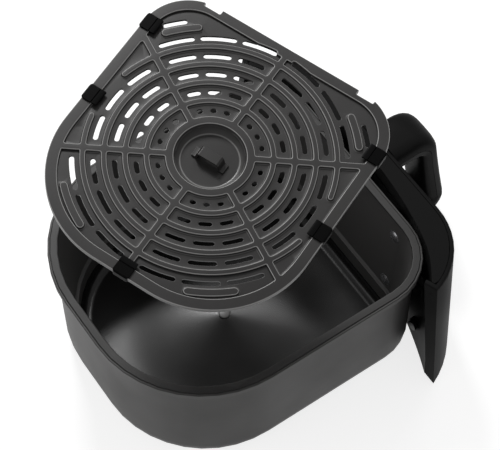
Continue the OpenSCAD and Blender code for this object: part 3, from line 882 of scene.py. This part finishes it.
def build_hook():
    """Small hook-shaped mark on the cap."""
    places = ((-50.8, -149.3), (-52.0, -148.2), (-53.7, -148.7), (-55.2, -150.0), (-56.6, -151.0))
    spine = [Vector(place) * MM for place in places]
    half_widths = (0.4, 0.8, 0.9, 0.8, 0.4)
    bottom, surface = 0.5 * MM, 0.02 * MM
    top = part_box("top_cap")[1].z
    last = len(spine) - 1
    bm = bmesh.new()
    lower, upper = [], []
    for i, (point, half) in enumerate(zip(spine, half_widths)):
        along = spine[min(i + 1, last)] - spine[max(i - 1, 0)]
        side = Vector((-along.y, along.x)).normalized() * half * MM
        for pairs, depth in ((lower, bottom), (upper, surface)):
            pairs.append([bm.verts.new((*(point + side * k), top - depth)) for k in (-1, 1)])
    for i in range(last):
        (a, b), (c, d) = upper[i], upper[i + 1]
        (e, f), (g, h) = lower[i], lower[i + 1]
        for quad in ((a, c, d, b), (e, f, h, g), (a, e, g, c), (b, d, h, f)):
            bm.faces.new(quad)
    for i in (0, -1):
        bm.faces.new((*upper[i], *lower[i][::-1]))
    bmesh.ops.recalc_face_normals(bm, faces=bm.faces)
    extra_piece(bm, "cap_hook", "drawer", finish("Frame moulding"))


# ---------------------------------------------------------------- operators
class DRAWER_OT_pan(bpy.types.Operator):
    """Both skins of the pan with their rivets and floor stud"""

    bl_idname = "drawer.pan"
    bl_label = "Pan"
    bl_options = {"REGISTER", "UNDO"}

    def execute(self, context):
        s = context.scene.drawer_finish
        softened_copy("outer_pan", "pan_outer_skin", finish("Pan outside"), s.sheet_edge)
        build_inner_skin(s)
        softened_copy("pan_rivets", "front_wall_rivets", finish("Rivet heads"))
        softened_copy("floor_disc", "floor_stud_cap", finish("Floor stud painted bright"), 0.3 * MM)
        build_floor_ring(s)
        return {"FINISHED"}


class DRAWER_OT_plate(bpy.types.Operator):
    """Crisper plate with its ring ribs and slots"""

    bl_idname = "drawer.plate"
    bl_label = "Crisper plate"
    bl_options = {"REGISTER", "UNDO"}

    def execute(self, context):
        build_grille(context.scene.drawer_finish)
        softened_copy("lift_bridge", "lifting_strap", finish("Plate coating"), 0.3 * MM)
        return {"FINISHED"}


class DRAWER_OT_bumpers(bpy.types.Operator):
    """Silicone bumpers on the plate's edge"""

    bl_idname = "drawer.bumpers"
    bl_label = "Bumpers"
    bl_options = {"REGISTER", "UNDO"}

    def execute(self, context):
        for node in BUMPERS:
            build_bumper(context.scene.drawer_finish, node)
        return {"FINISHED"}


class DRAWER_OT_front(bpy.types.Operator):
    """Front panel with its cap and inner frame"""

    bl_idname = "drawer.front"
    bl_label = "Front panel"
    bl_options = {"REGISTER", "UNDO"}

    def execute(self, context):
        s = context.scene.drawer_finish
        softened_copy("front_panel", "front_shell", finish("Black moulding"), s.moulded_edge)
        softened_copy("top_cap", "top_moulding", finish("Black moulding"), s.moulded_edge)
        softened_copy("inner_frame", "back_moulding", finish("Frame moulding"), 0.4 * MM)
        build_hook()
        build_wedge()
        return {"FINISHED"}


class DRAWER_OT_handle(bpy.types.Operator):
    """Both halves of the handle"""

    bl_idname = "drawer.handle"
    bl_label = "Handle"
    bl_options = {"REGISTER", "UNDO"}

    def execute(self, context):
        s = context.scene.drawer_finish
        build_grip(s, "handle_cover", "grip_outer")
        build_grip(s, "handle_back", "grip_inner")
        return {"FINISHED"}


class DRAWER_OT_hardware(bpy.types.Operator):
    """Bracket and screws, which keep the solids' own shape"""

    bl_idname = "drawer.hardware"
    bl_label = "Bracket and screws"
    bl_options = {"REGISTER", "UNDO"}

    def execute(self, context):
        for node in ("mount_bracket", "bracket_screws", "panel_screws", "handle_screws"):
            data = frame["nodes"][node].data
            data.materials.clear()
            data.materials.append(finish("Plated steel" if node == "mount_bracket" else "Blackened steel"))
        return {"FINISHED"}


class DRAWER_OT_studio(bpy.types.Operator):
    """Floor, world, lamps and camera"""

    bl_idname = "drawer.studio"
    bl_label = "Studio"
    bl_options = {"REGISTER", "UNDO"}

    def execute(self, context):
        studio = context.scene.drawer_studio
        make_floor()
        make_world(studio)
        make_lamps(studio)
        make_camera(studio)
        context.scene.view_settings.view_transform = "Standard"
        return {"FINISHED"}


# ---------------------------------------------------------------- studio
def seen_directly(tree):
    """1 for rays from the camera, from gloss and through glass, else 0."""
    path = tree.nodes.new("ShaderNodeLightPath")
    first = math_node(
        tree, "ADD", path.outputs["Is Camera Ray"], path.outputs["Is Glossy Ray"], clamp=True
    )
    return math_node(tree, "ADD", first, path.outputs["Is Transmission Ray"], clamp=True)


def make_floor():
    """Pale floor just below the drawer, wide enough to reach the horizon."""
    half, clearance = 40.0, 0.3 * MM
    pale, glow = 0.45, 0.78
    bm = bmesh.new()
    for x, y in ((-1, -1), (1, -1), (1, 1), (-1, 1)):
        bm.verts.new((x * half, y * half, cad_box[0].z - clearance))
    bm.faces.new(bm.verts)
    mesh = bpy.data.meshes.new("studio_floor")
    bm.to_mesh(mesh)
    bm.free()
    floor = bpy.data.objects.new("studio_floor", mesh)
    bpy.context.scene.collection.objects.link(floor)
    material = bpy.data.materials.new("Pale floor")
    material.use_nodes = True
    tree = material.node_tree
    shader = tree.nodes["Principled BSDF"]
    shader.inputs["Base Color"].default_value = (pale, pale, pale, 1)
    shader.inputs["Roughness"].default_value = 0.9
    shader.inputs["Emission Color"].default_value = (1, 1, 1, 1)
    strength = math_node(tree, "MULTIPLY", seen_directly(tree), glow)
    tree.links.new(strength, shader.inputs["Emission Strength"])
    mesh.materials.append(material)


def make_world(studio):
    """Even white light from all round."""
    world = bpy.data.worlds.new("Studio air")
    bpy.context.scene.world = world
    world.use_nodes = True
    background = world.node_tree.nodes["Background"]
    background.inputs["Color"].default_value = (1, 1, 1, 1)
    background.inputs["Strength"].default_value = studio.air


def make_lamps(studio):
    """Soft boxes as the camera sees them: two beyond the drawer and a broad one near at the left."""
    small, broad = 0.4, 1.2
    a = studio.azimuth
    left = Vector((-math.cos(a), -math.sin(a), 0))
    away = Vector((-math.sin(a), math.cos(a), 0))
    up = Vector((0, 0, 1))
    lamps = (
        ("far_left_box", left * 0.35 + away * 1.12 + up * 1.6, small, studio.far_left),
        ("far_right_box", -left * 0.5 + away * 1.0 + up * 1.4, small, studio.far_right),
        ("near_left_box", left * 1.6 - away * 0.7 + up * 0.8, broad, studio.near_left),
    )
    for name, place, size, power in lamps:
        data = bpy.data.lights.new(name, "AREA")
        data.shape = "SQUARE"
        data.size = size
        data.energy = power
        lamp = bpy.data.objects.new(name, data)
        lamp.location = place
        lamp.rotation_mode = "QUATERNION"
        lamp.rotation_quaternion = (Vector(studio.aim) - place).to_track_quat("-Z", "Y")
        bpy.context.scene.collection.objects.link(lamp)


def make_camera(studio):
    """Camera that looks at the aim point from the studio's direction."""
    a, e = studio.azimuth, studio.elevation
    back = Vector((math.sin(a) * math.cos(e), -math.cos(a) * math.cos(e), math.sin(e)))
    data = bpy.data.cameras.new("view")
    data.sensor_width = 36.0
    data.lens = studio.lens
    data.clip_end = 50.0
    camera = bpy.data.objects.new("view", data)
    camera.location = Vector(studio.aim) + back * studio.distance
    camera.rotation_mode = "QUATERNION"
    camera.rotation_quaternion = (-back).to_track_quat("-Z", "Y")
    bpy.context.scene.collection.objects.link(camera)
    bpy.context.scene.camera = camera


# ---------------------------------------------------------------- panel and run
class DRAWER_PT_pieces(bpy.types.Panel):
    """Lists the pieces and their sizes"""

    bl_idname = "DRAWER_PT_pieces"
    bl_label = "Air Fryer Drawer"
    bl_space_type = "VIEW_3D"
    bl_region_type = "UI"
    bl_category = "Drawer"

    def draw(self, context):
        for group in (context.scene.drawer_finish, context.scene.drawer_studio):
            box = self.layout.box()
            for key in group.__annotations__:
                box.prop(group, key)
        for operator in OPERATORS:
            self.layout.operator(operator.bl_idname)


OPERATORS = (
    DRAWER_OT_pan,
    DRAWER_OT_plate,
    DRAWER_OT_bumpers,
    DRAWER_OT_front,
    DRAWER_OT_handle,
    DRAWER_OT_hardware,
    DRAWER_OT_studio,
)
CLASSES = (DrawerFinish, DrawerStudio, *OPERATORS, DRAWER_PT_pieces)


def register():
    for cls in CLASSES:
        bpy.utils.register_class(cls)
    bpy.types.Scene.drawer_finish = bpy.props.PointerProperty(type=DrawerFinish)
    bpy.types.Scene.drawer_studio = bpy.props.PointerProperty(type=DrawerStudio)


def unregister():
    del bpy.types.Scene.drawer_studio
    del bpy.types.Scene.drawer_finish
    for cls in reversed(CLASSES):
        bpy.utils.unregister_class(cls)


def main():
    """Builds every piece and the studio."""
    register()
    for operator in OPERATORS:
        group, name = operator.bl_idname.split(".")
        getattr(getattr(bpy.ops, group), name)()


if __name__ == "__main__":
    main()
